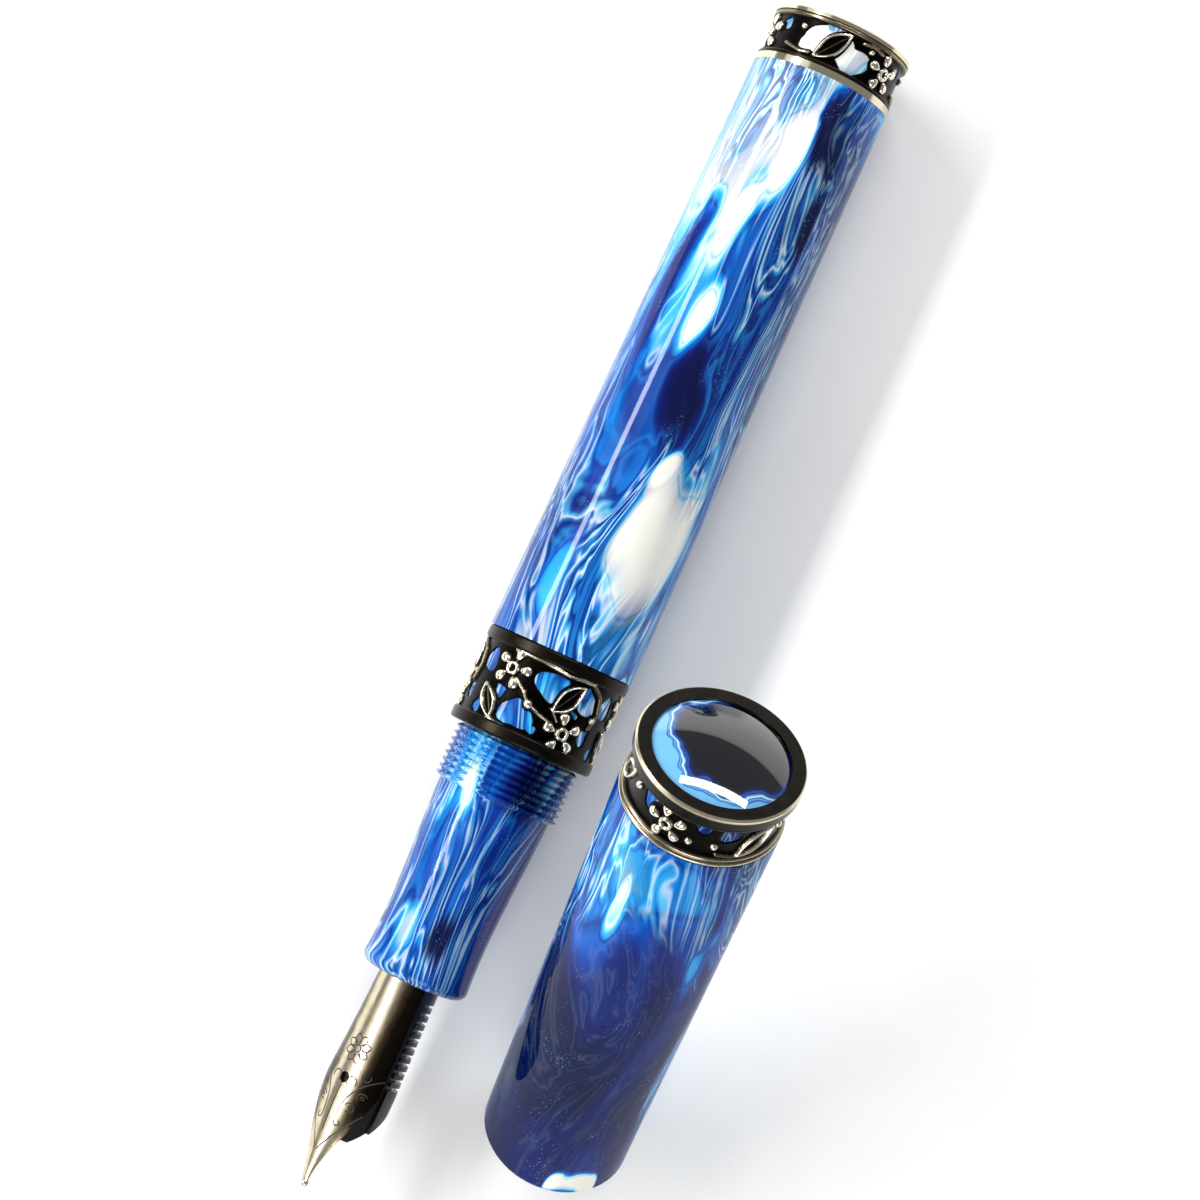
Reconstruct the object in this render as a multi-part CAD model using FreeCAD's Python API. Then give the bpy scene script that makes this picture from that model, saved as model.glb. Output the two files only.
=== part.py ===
import FreeCAD, Part
import math
import os

from FreeCAD import Vector

os.makedirs("parts", exist_ok=True)

# A fountain pen lying on a table with its cap leaning beside it.  Millimetres.
# +X runs along the pen from the nib to the tail, +Z is up.  The origin is on the pen's axis,
# in the middle of the grip section.

# ---- driving sizes of the pen ---------------------------------------------------------------
SECTION_LENGTH = 24.9          # front face of the section to the centre band
BAND_LENGTH = 9.8              # centre band
BARREL_LENGTH = 60.8           # visible barrel between the bands
TAIL_RING_WIDTH = 0.7
TAIL_BAND_LENGTH = 4.6
TAIL_BEZEL_WIDTH = 0.5

BARREL_FRONT_R = 7.45
BARREL_REAR_R = 7.08
BAND_RIM_R = 7.4
BAND_WAIST_R = 7.1
BAND_WALL = 0.3                # wall of a band at its waist, over the resin
RIM_WIDTH = 1.1                # plain rim at each edge of a band
SMALL_RIM_WIDTH = 0.6

BARREL_BORE_R = 5.1
BARREL_END_WALL = 3.5
BUSH_WALL = 0.9
BUSH_LENGTH = 9.0

SECTION_LIP_R = 5.43
SECTION_WAIST_R = 5.28
SECTION_BACK_R = 5.78
SECTION_BORE_R = 3.9
TENON_LENGTH = 9.0
TENON_R = 4.98                 # crest of the thread that screws into the barrel
TENON_STEP = 0.3
CAP_THREAD_R = 6.37            # crest of the thread that takes the cap
THREAD_DEPTH = 0.42
THREAD_PITCH = 0.7             # crest to crest; three starts, so the lead is 2.1
CAP_THREAD_LENGTH = 5.6
BARREL_THREAD_LENGTH = 5.0

# ---- nib, feed and housing ------------------------------------------------------------------
NIB_EXPOSED = 21.7             # section face to the end of the tines
NIB_TAIL = 9.0                 # part of the nib inside the housing
NIB_THICKNESS = 0.32
NIB_TAIL_R = 3.3
NIB_SHOULDER_AT = 11.2         # widest place, from the section face
NIB_SHOULDER_HALF = 3.6
NIB_ROLL = 33.0                # the nib is rolled about the pen's axis
BREATHER_AT = 10.8
BREATHER_R = 0.55
SLIT_WIDTH = 0.12
TIP_R = 0.42
FEED_R = 2.94
FEED_BELLY_R = 3.3
FEED_EXPOSED = 16.4
FEED_TAIL = 11.0
FIN_COUNT = 11
FIN_PITCH = 0.86
FIN_GAP = 0.42
FIN_DEPTH = 0.7
HOUSING_LENGTH = 14.0
NIPPLE_LENGTH = 6.0
NIPPLE_R = 1.6

# ---- ink converter --------------------------------------------------------------------------
TUBE_R = 3.55
TUBE_WALL = 0.55
TUBE_LENGTH = 40.0
MOUTH_LENGTH = 7.0
SLEEVE_R = 4.1
SLEEVE_LENGTH = 15.0
KNOB_R = 3.7
KNOB_LENGTH = 11.0
SPINDLE_R = 0.9
SPINDLE_LENGTH = 15.0
ROD_R = 1.6
PISTON_LENGTH = 4.0

# ---- cap ------------------------------------------------------------------------------------
CAP_LENGTH = 49.8              # resin between the mouth and the cap band
CAP_BAND_LENGTH = 5.0
CAP_BEZEL_WIDTH = 1.2
CAP_MOUTH_R = 7.2
CAP_TOP_R = 7.5
CAP_RIM_R = 7.62
CAP_WAIST_R = 7.12
CAP_BORE_R = 6.1
CAP_SEAT_R = 5.55              # the bore behind it, that holds the inner cap
CAP_END_WALL = 3.0
LINER_WALL = 0.8
LINER_BASE = 1.4
SEAL_THICKNESS = 0.8
CABOCHON_RISE = 1.3
FINIAL_RING = 1.40             # flat of the bezel round a cabochon
STUD_R = 1.5

# ---- how the cap lies -----------------------------------------------------------------------
CAP_TILT = 44.55               # closed end up, mouth's rim on the table
CAP_GAP = 3.7                  # free space between the pen and the cap
CAP_MOUTH_AT = -7.6            # mouth's centre, from the section face along the pen

# ---- clearances -----------------------------------------------------------------------------
RUN = 0.06                     # radial, between turned pieces that turn or slide
THREAD_GAP = 0.07              # radial, crest to crest
SEAT = 0.02                    # radial, between glued or pressed pieces
FACE = 0.10                    # between end faces of pieces that part

# ---- places along the pen -------------------------------------------------------------------
FACE_X = -11.0
SHOULDER_X = FACE_X + SECTION_LENGTH
BAND_END_X = SHOULDER_X + BAND_LENGTH
RING_X = BAND_END_X + BARREL_LENGTH
TAIL_BAND_X = RING_X + TAIL_RING_WIDTH
TAIL_BEZEL_X = TAIL_BAND_X + TAIL_BAND_LENGTH
TAIL_X = TAIL_BEZEL_X + TAIL_BEZEL_WIDTH
HOUSING_X = FACE_X + 0.6
HOUSING_END_X = HOUSING_X + HOUSING_LENGTH
PEN_R = max(BARREL_FRONT_R, BAND_RIM_R)

AXIS = Vector(1, 0, 0)
ORIGIN = Vector(0, 0, 0)


def save(name, shape):
    shape.exportStep("parts/" + name + ".step")


def turned(outline):
    """Solid turned about the X axis from a closed outline of (x, r) points."""
    points = [Vector(x, 0, r) for x, r in outline]
    face = Part.Face(Part.makePolygon(points + points[:1]))
    return face.revolve(ORIGIN, AXIS, 360)


def tube(start, end, outer, inner):
    return turned([(start, inner), (end, inner), (end, outer), (start, outer)])


def rod(start, end, radius):
    return Part.makeCylinder(radius, end - start, Vector(start, 0, 0), AXIS)


def thread_outline(start, length, crest, root):
    """Points of a run of V-shaped thread ridges, from root to root."""
    count = int(length / THREAD_PITCH)
    points = [(start, root)]
    for i in range(count):
        foot = start + i * THREAD_PITCH
        points.append((foot + 0.35 * THREAD_PITCH, crest))
        points.append((foot + 0.55 * THREAD_PITCH, crest))
        points.append((foot + 0.9 * THREAD_PITCH, root))
    points.append((start + length, root))
    return points


def band(start, end, bore, rim, waist, rim_width):
    """A band with a raised round-edged rim at each end and a plain waist between them."""
    edge = 0.2
    left = start + rim_width
    right = end - rim_width
    return turned([
        (start, bore), (end, bore), (end, rim - edge), (end - edge, rim), (right + edge, rim),
        (right, waist), (left, waist), (left - edge, rim), (start + edge, rim), (start, rim - edge)])


def cabochon(base, thickness, radius, rise):
    """A round cap of a sphere on a short straight side, standing on a flat base."""
    side = base + thickness
    bottom = Part.makePolygon([Vector(side, 0, radius), Vector(base, 0, radius), Vector(base, 0, 0),
                               Vector(side + rise, 0, 0)])
    bulge = (radius * radius + rise * rise) / (2 * rise)
    half = radius / 2
    middle = Vector(side + rise - bulge + math.sqrt(bulge * bulge - half * half), 0, half)
    dome = Part.Arc(Vector(side + rise, 0, 0), middle, Vector(side, 0, radius)).toShape()
    return Part.Face(Part.Wire(bottom.Edges + [dome])).revolve(ORIGIN, AXIS, 360)


# ---- barrel and what is fixed to it ---------------------------------------------------------
SPIGOT_R = BAND_WAIST_R - BAND_WALL - SEAT
FLANGE = 0.6
BARREL_X = SHOULDER_X + FLANGE
TAIL_SPIGOT_R = BARREL_REAR_R - 0.5
BUSH_R = TENON_R + THREAD_GAP + THREAD_DEPTH + BUSH_WALL
BUSH_END_X = BARREL_X + BUSH_LENGTH


def barrel():
    """Resin barrel: a slightly tapered tube with a stepped seat for the band at each end."""
    bore_end = RING_X - BARREL_END_WALL
    return turned([
        (BARREL_X, BUSH_R + SEAT), (BUSH_END_X, BUSH_R + SEAT), (BUSH_END_X, BARREL_BORE_R),
        (bore_end, BARREL_BORE_R), (bore_end + 1.5, 0), (TAIL_BEZEL_X - 0.4, 0),
        (TAIL_BEZEL_X - 0.4, TAIL_SPIGOT_R), (RING_X, TAIL_SPIGOT_R), (RING_X, BARREL_REAR_R),
        (BAND_END_X, BARREL_FRONT_R), (BAND_END_X, SPIGOT_R), (BARREL_X, SPIGOT_R)])


def stud_hole(start, end):
    return rod(start, end, STUD_R + SEAT)


def center_band():
    """Cast openwork band over the barrel's front end, with a flange that covers the resin's end."""
    ring = band(SHOULDER_X, BAND_END_X, SPIGOT_R + SEAT, BAND_RIM_R, BAND_WAIST_R, RIM_WIDTH)
    flange = tube(SHOULDER_X, BARREL_X, SPIGOT_R + SEAT, TENON_R + THREAD_GAP + 0.2)
    return ring.fuse(flange).removeSplitter()


def barrel_bush():
    """Threaded metal insert in the barrel's mouth."""
    crest = TENON_R + THREAD_GAP
    grooves = [(x, crest + THREAD_DEPTH * 0.8 - (r - crest))
               for x, r in thread_outline(BARREL_X + 1.0, BARREL_THREAD_LENGTH + 1.0,
                                          crest + THREAD_DEPTH * 0.8, crest)]
    end = [(BUSH_END_X, grooves[-1][1]), (BUSH_END_X, BUSH_R), (BARREL_X, BUSH_R)]
    return turned([(BARREL_X, grooves[0][1])] + grooves + end)


TAIL_STUD = 3.0
barrel_shape = barrel().cut(stud_hole(TAIL_BEZEL_X - 0.4 - TAIL_STUD, TAIL_BEZEL_X))
save("barrel", barrel_shape)
save("center_band", center_band())
save("barrel_bush", barrel_bush())
save("tail_ring", tube(RING_X, TAIL_BAND_X, BARREL_REAR_R + 0.04, TAIL_SPIGOT_R + SEAT))
save("tail_band", band(TAIL_BAND_X, TAIL_BEZEL_X, TAIL_SPIGOT_R + SEAT, BARREL_REAR_R,
                       BARREL_REAR_R - 0.22, SMALL_RIM_WIDTH))


def finial(start, width, outer):
    """Bezel ring with a floor: a shallow tray that a cabochon sits in."""
    inner = outer - FINIAL_RING
    edge = 0.15
    floor = width * 0.35
    return turned([(start, STUD_R + SEAT), (start, outer - edge), (start + edge, outer),
                   (start + width - edge, outer), (start + width, outer - edge),
                   (start + width, inner), (start + floor, inner), (start + floor, STUD_R + SEAT)])


TAIL_TRAY_X = TAIL_BEZEL_X - 0.4
tail_tray = finial(TAIL_TRAY_X, TAIL_X - TAIL_TRAY_X, BARREL_REAR_R + 0.06)
tail_sleeve = tube(TAIL_TRAY_X, TAIL_BEZEL_X, BARREL_REAR_R + 1.0, TAIL_SPIGOT_R)
save("tail_bezel", tail_tray.cut(tail_sleeve))
TAIL_FLOOR_X = TAIL_TRAY_X + (TAIL_X - TAIL_TRAY_X) * 0.35
TAIL_STONE_R = BARREL_REAR_R + 0.06 - FINIAL_RING - SEAT
save("tail_cabochon", cabochon(TAIL_FLOOR_X, TAIL_X - TAIL_FLOOR_X - 0.2, TAIL_STONE_R, 0.7))
save("tail_stud", rod(TAIL_TRAY_X - TAIL_STUD + 0.3, TAIL_FLOOR_X, STUD_R))


# ---- grip section ---------------------------------------------------------------------------
CAP_THREAD_X = SHOULDER_X - CAP_THREAD_LENGTH - 0.2
TENON_X = SHOULDER_X + TENON_LENGTH
CAP_ROOT_R = CAP_THREAD_R - THREAD_DEPTH
TENON_ROOT_R = TENON_R - TENON_STEP


def section():
    """Resin grip: rolled lip, gentle waist, cap thread, shoulder and the threaded tenon."""
    grip = [Vector(FACE_X + 1.2, 0, SECTION_LIP_R), Vector(FACE_X + 6.5, 0, SECTION_WAIST_R),
            Vector(FACE_X + 13.0, 0, (SECTION_WAIST_R + SECTION_BACK_R) / 2),
            Vector(CAP_THREAD_X, 0, SECTION_BACK_R)]
    curve = Part.BSplineCurve()
    curve.interpolate(grip)
    lip = Part.Arc(Vector(FACE_X, 0, SECTION_LIP_R - 0.9),
                   Vector(FACE_X + 0.28, 0, SECTION_LIP_R - 0.28), grip[0]).toShape()
    back = [(CAP_THREAD_X, SECTION_BACK_R)]
    back += thread_outline(CAP_THREAD_X + 0.1, CAP_THREAD_LENGTH, CAP_THREAD_R, CAP_ROOT_R)
    back += [(SHOULDER_X - FACE, CAP_ROOT_R), (SHOULDER_X - FACE, TENON_ROOT_R)]
    back += thread_outline(SHOULDER_X + FLANGE + 1.5, BARREL_THREAD_LENGTH, TENON_R, TENON_ROOT_R)
    back += [(TENON_X, TENON_ROOT_R), (TENON_X, SECTION_BORE_R), (FACE_X, SECTION_BORE_R),
             (FACE_X, SECTION_LIP_R - 0.9)]
    rest = Part.makePolygon([Vector(x, 0, r) for x, r in back])
    return Part.Face(Part.Wire([lip, curve.toShape()] + rest.Edges)).revolve(ORIGIN, AXIS, 360)


save("section", section())

# A soft ring in the neck of the tenon, against the barrel's flange.
SEAL_X = SHOULDER_X + FLANGE / 2
save("section_seal", tube(SEAL_X - 0.1, SEAL_X + 0.6, TENON_R + THREAD_GAP + 0.14, TENON_ROOT_R + RUN))


def rolled(shape):
    """Turn a piece of the nib unit about the pen's axis to how the nib faces."""
    turned_copy = shape.copy()
    turned_copy.rotate(ORIGIN, AXIS, -NIB_ROLL)
    return turned_copy


def nib_slice(at, ridge, half_width, drop):
    """Curved strip across the nib: ridge height, half width and how far its edges hang below the ridge."""
    radius = (half_width * half_width + drop * drop) / (2 * drop)
    spread = math.asin(min(1.0, half_width / radius))
    centre = ridge - radius

    def point(r, angle):
        return Vector(FACE_X - at, r * math.sin(angle), centre + r * math.cos(angle))

    inner = radius - NIB_THICKNESS
    top = Part.Arc(point(radius, -spread), point(radius, 0), point(radius, spread)).toShape()
    under = Part.Arc(point(inner, spread), point(inner, 0), point(inner, -spread)).toShape()
    right = Part.makeLine(point(radius, spread), point(inner, spread))
    left = Part.makeLine(point(inner, -spread), point(radius, -spread))
    return Part.Wire([top, right, under, left])


def nib():
    """Stamped steel nib: a curved tail that widens to the shoulders, then hollow-sided tines."""
    tail_drop = NIB_TAIL_R * (1 - math.cos(math.radians(66)))
    tail_half = NIB_TAIL_R * math.sin(math.radians(66))
    shoulder = (NIB_SHOULDER_AT, NIB_TAIL_R + 0.1, NIB_SHOULDER_HALF, 1.75)
    tail = [(-NIB_TAIL, NIB_TAIL_R, tail_half, tail_drop), (0.0, NIB_TAIL_R, tail_half, tail_drop),
            (0.55 * NIB_SHOULDER_AT, NIB_TAIL_R + 0.03, (tail_half + NIB_SHOULDER_HALF) / 2, 1.85), shoulder]
    reach = NIB_EXPOSED - NIB_SHOULDER_AT
    tines = [shoulder]
    for share, ridge, width, drop in ((0.3, -0.1, 0.76, 1.12), (0.6, -0.42, 0.42, 0.5),
                                      (0.82, -0.72, 0.2, 0.2), (1.0, -1.0, 0.1, 0.09)):
        tines.append((NIB_SHOULDER_AT + share * reach, NIB_TAIL_R + 0.1 + ridge,
                      NIB_SHOULDER_HALF * width, drop))
    back = Part.makeLoft([nib_slice(*s) for s in tail], True, False)
    front = Part.makeLoft([nib_slice(*s) for s in tines], True, False)
    body = back.fuse(front).removeSplitter()
    hole = Part.makeCylinder(BREATHER_R, 6, Vector(FACE_X - BREATHER_AT, 0, 0), Vector(0, 0, 1))
    slit = Part.makeBox(NIB_EXPOSED - BREATHER_AT + 1, SLIT_WIDTH, 6,
                        Vector(FACE_X - NIB_EXPOSED - 1, -SLIT_WIDTH / 2, 0))
    return body.cut(hole).cut(slit)


TIP_HEIGHT = NIB_TAIL_R + 0.1 - 1.0 - NIB_THICKNESS / 2
save("nib", rolled(nib()))
tipping = Part.makeSphere(TIP_R, Vector(FACE_X - NIB_EXPOSED, 0, TIP_HEIGHT - 0.1))
save("nib_tipping", rolled(tipping))


def feed():
    """Black finned feed under the nib, with a nose that slopes up to the tines."""
    core = rod(FACE_X - FEED_EXPOSED, FACE_X + FEED_TAIL, FEED_R)
    belly = turned([(FACE_X - FEED_EXPOSED, 0), (FACE_X - 0.8, 0), (FACE_X - 0.8, FEED_R),
                    (FACE_X - NIB_SHOULDER_AT, FEED_BELLY_R), (FACE_X - FEED_EXPOSED, FEED_BELLY_R)])
    below = Part.makeBox(40, 20, 10, Vector(FACE_X - 30, -10, -9.6))
    body = core.fuse(belly.common(below))
    for i in range(FIN_COUNT):
        start = FACE_X - 1.4 - i * FIN_PITCH
        groove = tube(start - FIN_GAP, start, FEED_BELLY_R + 1, FEED_BELLY_R - FIN_DEPTH)
        body = body.cut(groove.common(below))
    # Side view of the nose: its top follows the tines, its underside slopes up to meet them.
    nose = [(FEED_TAIL + 1, 5), (-NIB_SHOULDER_AT + 2, 5), (-NIB_SHOULDER_AT, FEED_R - 0.05),
            (-FEED_EXPOSED, NIB_TAIL_R - 0.93), (-FEED_EXPOSED, NIB_TAIL_R - 1.5),
            (-NIB_SHOULDER_AT, -FEED_BELLY_R), (-NIB_SHOULDER_AT, -5), (FEED_TAIL + 1, -5)]
    side = [Vector(FACE_X + x, -6, z) for x, z in nose]
    return body.common(Part.Face(Part.makePolygon(side + side[:1])).extrude(Vector(0, 12, 0)))


save("feed", rolled(feed()))


def nib_housing():
    """Plastic collar that holds the nib and feed, with a nipple that pierces the ink supply."""
    inside = NIB_TAIL_R + SEAT
    wall_x = FACE_X + FEED_TAIL + 0.3
    nipple_x = HOUSING_END_X + NIPPLE_LENGTH
    return turned([
        (HOUSING_X, inside), (wall_x, inside), (wall_x, 0.6), (nipple_x, 0.6), (nipple_x, NIPPLE_R - 0.3),
        (nipple_x - 0.3, NIPPLE_R), (HOUSING_END_X, NIPPLE_R), (HOUSING_END_X, SECTION_BORE_R - SEAT),
        (HOUSING_X, SECTION_BORE_R - SEAT)])


save("nib_housing", nib_housing())


# ---- ink converter --------------------------------------------------------------------------
MOUTH_X = HOUSING_END_X + 0.4
TUBE_X = MOUTH_X + MOUTH_LENGTH - 2.0
TUBE_END_X = TUBE_X + TUBE_LENGTH
SLEEVE_X = TUBE_END_X - SLEEVE_LENGTH
KNOB_X = TUBE_END_X + 1.2
TUBE_BORE_R = TUBE_R - TUBE_WALL
COLLAR_R = SECTION_BORE_R - RUN


def converter_mouth():
    """Collar that slips over the nipple, stepped to hold the reservoir tube."""
    bore = NIPPLE_R + RUN
    end = MOUTH_X + MOUTH_LENGTH
    return turned([(MOUTH_X, bore), (TUBE_X, bore), (TUBE_X, TUBE_R + SEAT), (end, TUBE_R + SEAT),
                   (end, COLLAR_R), (MOUTH_X + 0.3, COLLAR_R), (MOUTH_X, COLLAR_R - 0.3)])


save("converter_mouth", converter_mouth())
save("converter_tube", tube(TUBE_X, TUBE_END_X, TUBE_R, TUBE_BORE_R))
save("converter_sleeve", turned([
    (SLEEVE_X, TUBE_R + SEAT), (TUBE_END_X, TUBE_R + SEAT), (TUBE_END_X, SPINDLE_R + 1.3),
    (TUBE_END_X + 0.9, SPINDLE_R + 1.3), (TUBE_END_X + 0.9, SLEEVE_R - 0.2),
    (TUBE_END_X + 0.7, SLEEVE_R), (SLEEVE_X + 0.3, SLEEVE_R), (SLEEVE_X, SLEEVE_R - 0.3)]))


def converter_knob():
    """Turning knob with grooves along it and the screw spindle that drives the piston."""
    end = KNOB_X + KNOB_LENGTH
    spindle_x = KNOB_X - SPINDLE_LENGTH
    knob = turned([(spindle_x, 0), (end, 0), (end, KNOB_R - 0.5), (end - 0.5, KNOB_R), (KNOB_X + 0.4, KNOB_R),
                   (KNOB_X, KNOB_R - 0.4), (KNOB_X, SPINDLE_R), (spindle_x, SPINDLE_R)])
    groove = Part.makeCylinder(0.35, KNOB_LENGTH - 3, Vector(KNOB_X + 1.5, 0, KNOB_R + 0.1), AXIS)
    for i in range(12):
        cutter = groove.copy()
        cutter.rotate(ORIGIN, AXIS, i * 30)
        knob = knob.cut(cutter)
    return knob


save("converter_knob", converter_knob())

# The piston stands near the knob end of the tube, so the tube is full.
PISTON_END_X = TUBE_END_X - 16.0
save("piston_seal", turned([
    (PISTON_END_X - PISTON_LENGTH, 0), (PISTON_END_X, 0), (PISTON_END_X, TUBE_BORE_R - 0.02),
    (PISTON_END_X - 0.8, TUBE_BORE_R - 0.02), (PISTON_END_X - 1.2, TUBE_BORE_R - 0.35),
    (PISTON_END_X - PISTON_LENGTH + 1.2, TUBE_BORE_R - 0.35),
    (PISTON_END_X - PISTON_LENGTH + 0.8, TUBE_BORE_R - 0.02),
    (PISTON_END_X - PISTON_LENGTH, TUBE_BORE_R - 0.02)]))
save("piston_rod", tube(PISTON_END_X, TUBE_END_X - 0.6, ROD_R, SPINDLE_R + RUN))


# ---- cap, built along +X with its mouth's centre at the origin -------------------------------
CAP_BAND_END = CAP_LENGTH + CAP_BAND_LENGTH
CAP_TRAY = CAP_BAND_END - 0.4
CAP_TOP = CAP_BAND_END + CAP_BEZEL_WIDTH
CAP_CREST_R = CAP_THREAD_R + THREAD_GAP
CAP_SPIGOT_R = CAP_WAIST_R - BAND_WALL - SEAT
CAP_BORE_END = CAP_TRAY - CAP_END_WALL
LINER_X = SECTION_LENGTH + FACE
LINER_END = CAP_BORE_END - SEAL_THICKNESS - 0.3
LINER_R = CAP_SEAT_R - RUN


def capped(shape):
    """Lay a cap piece in its place: tilted beside the pen with its mouth's rim on the table."""
    placed = shape.copy()
    placed.rotate(ORIGIN, Vector(0, 1, 0), -CAP_TILT)
    rim_drop = CAP_MOUTH_R * math.cos(math.radians(CAP_TILT))
    placed.translate(Vector(FACE_X + CAP_MOUTH_AT, -(PEN_R + CAP_GAP + CAP_TOP_R), rim_drop - PEN_R))
    return placed


def cap_shell():
    """Resin cap: threaded mouth, plain bore and a spigot for the band at the closed end."""
    lip = 0.35
    thread = thread_outline(1.0, CAP_THREAD_LENGTH, CAP_CREST_R + THREAD_DEPTH * 0.8, CAP_CREST_R)
    bore = [(0, CAP_CREST_R + 0.5), (0.8, CAP_CREST_R)] + thread
    bore += [(thread[-1][0] + 0.6, CAP_BORE_R), (SECTION_LENGTH, CAP_BORE_R), (SECTION_LENGTH, CAP_SEAT_R),
             (CAP_BORE_END, CAP_SEAT_R), (CAP_BORE_END, 0)]
    outside = [(CAP_TRAY, 0), (CAP_TRAY, CAP_SPIGOT_R), (CAP_LENGTH, CAP_SPIGOT_R), (CAP_LENGTH, CAP_TOP_R),
               (lip, CAP_MOUTH_R), (0, CAP_MOUTH_R - lip / 2)]
    return turned(bore + outside).cut(stud_hole(CAP_TRAY - 2.2, CAP_TRAY + 1))


save("cap_shell", capped(cap_shell()))
save("cap_band", capped(band(CAP_LENGTH, CAP_BAND_END, CAP_SPIGOT_R + SEAT, CAP_RIM_R - 0.12, CAP_WAIST_R,
                             SMALL_RIM_WIDTH)))
cap_tray = finial(CAP_TRAY, CAP_TOP - CAP_TRAY, CAP_RIM_R)
cap_sleeve = tube(CAP_TRAY, CAP_BAND_END, CAP_RIM_R + 1.0, CAP_SPIGOT_R)
save("cap_bezel", capped(cap_tray.cut(cap_sleeve)))
CAP_FLOOR = CAP_TRAY + (CAP_TOP - CAP_TRAY) * 0.35
save("cap_cabochon", capped(cabochon(CAP_FLOOR, CAP_TOP - CAP_FLOOR - 0.25, CAP_RIM_R - FINIAL_RING - SEAT,
                                     CABOCHON_RISE)))
save("cap_stud", capped(rod(CAP_TRAY - 2.0, CAP_FLOOR, STUD_R)))
save("cap_liner", capped(turned([
    (LINER_X, LINER_R - LINER_WALL), (LINER_END - LINER_BASE, LINER_R - LINER_WALL),
    (LINER_END - LINER_BASE, 0), (LINER_END, 0), (LINER_END, LINER_R), (LINER_X, LINER_R)])))
save("cap_seal", capped(rod(CAP_BORE_END - SEAL_THICKNESS, CAP_BORE_END, CAP_SEAT_R - 0.2)))
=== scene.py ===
import math

import bmesh
import bpy
import numpy as np
from mathutils import Matrix, Vector
from mathutils.bvhtree import BVHTree


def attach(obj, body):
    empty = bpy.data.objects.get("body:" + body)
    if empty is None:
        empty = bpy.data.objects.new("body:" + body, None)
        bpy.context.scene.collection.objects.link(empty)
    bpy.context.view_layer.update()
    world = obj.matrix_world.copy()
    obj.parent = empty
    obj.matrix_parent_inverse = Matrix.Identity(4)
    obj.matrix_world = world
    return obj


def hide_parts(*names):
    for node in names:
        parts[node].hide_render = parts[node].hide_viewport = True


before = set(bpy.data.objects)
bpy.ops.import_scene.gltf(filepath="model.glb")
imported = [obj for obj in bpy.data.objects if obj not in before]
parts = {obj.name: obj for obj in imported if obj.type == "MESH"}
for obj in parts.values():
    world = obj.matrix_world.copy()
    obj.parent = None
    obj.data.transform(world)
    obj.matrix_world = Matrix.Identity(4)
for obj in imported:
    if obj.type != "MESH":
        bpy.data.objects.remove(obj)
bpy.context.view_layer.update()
bpy.context.scene.view_settings.view_transform = "Standard"

# ==== Barrel =================================================================================
# A turned tube of cast polyester resin, poured in navy, royal blue, sky blue and white and
# folded together before it set, then turned, wet-sanded and buffed to a wet gloss.

MM = 0.001                          # one millimetre in metres
PEN_LAY = ((0, 0, 0), (0, 0, 0))    # where the pen stands and how it is turned
NOISE_MIDDLE = (0.5, 0.5, 0.5)      # the colour that a noise swings about
MIX_FIRST, MIX_SECOND, MIX_RESULT = 6, 7, 2     # the colour sockets of a mix node
FAINT_POUR = 0.3                    # a white pour weaker than this keeps the threads that cross it


def linear(code):
    """An sRGB hex colour as linear red, green, blue and alpha."""
    channels = [int(code[i:i + 2], 16) / 255 for i in (1, 3, 5)]
    return tuple(c / 12.92 if c <= 0.04045 else ((c + 0.055) / 1.055) ** 2.4 for c in channels) + (1.0,)


def add(tree, kind, inputs=None, stops=None, **settings):
    """Add one node. Inputs are socket names or numbers with a value or another node's output, stops are
    the places and colours of a ramp, and settings are the node's own."""
    made = tree.nodes.new("ShaderNode" + kind)
    for name, value in settings.items():
        setattr(made, name, value)
    for socket, value in (inputs or {}).items():
        if isinstance(value, bpy.types.NodeSocket):
            tree.links.new(value, made.inputs[socket])
        else:
            made.inputs[socket].default_value = value
    if stops:
        ramp = made.color_ramp
        while len(ramp.elements) < len(stops):
            ramp.elements.new(0.5)
        for element, (at, colour) in zip(ramp.elements, stops):
            element.position, element.color = at, linear(colour)
    return made


def new_finish(name, surface):
    """A material with one surface shader, and its node tree. Surface gives the shader's sockets."""
    material = bpy.data.materials.new(name)
    material.use_nodes = True
    tree = material.node_tree
    tree.nodes.clear()
    shader = add(tree, "BsdfPrincipled", surface)
    add(tree, "OutputMaterial", {"Surface": shader.outputs[0]})
    return material, tree, shader


def along_piece(tree, lay):
    """Places on a piece in mm, with x along its axis. Its lay is where it stands and how it is turned."""
    where = add(tree, "TexCoord")
    place, turn = lay
    return add(tree, "Mapping", {"Vector": where.outputs["Object"], "Location": place, "Rotation": turn,
                                 "Scale": (MM, MM, MM)}, vector_type="TEXTURE").outputs[0]


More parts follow.
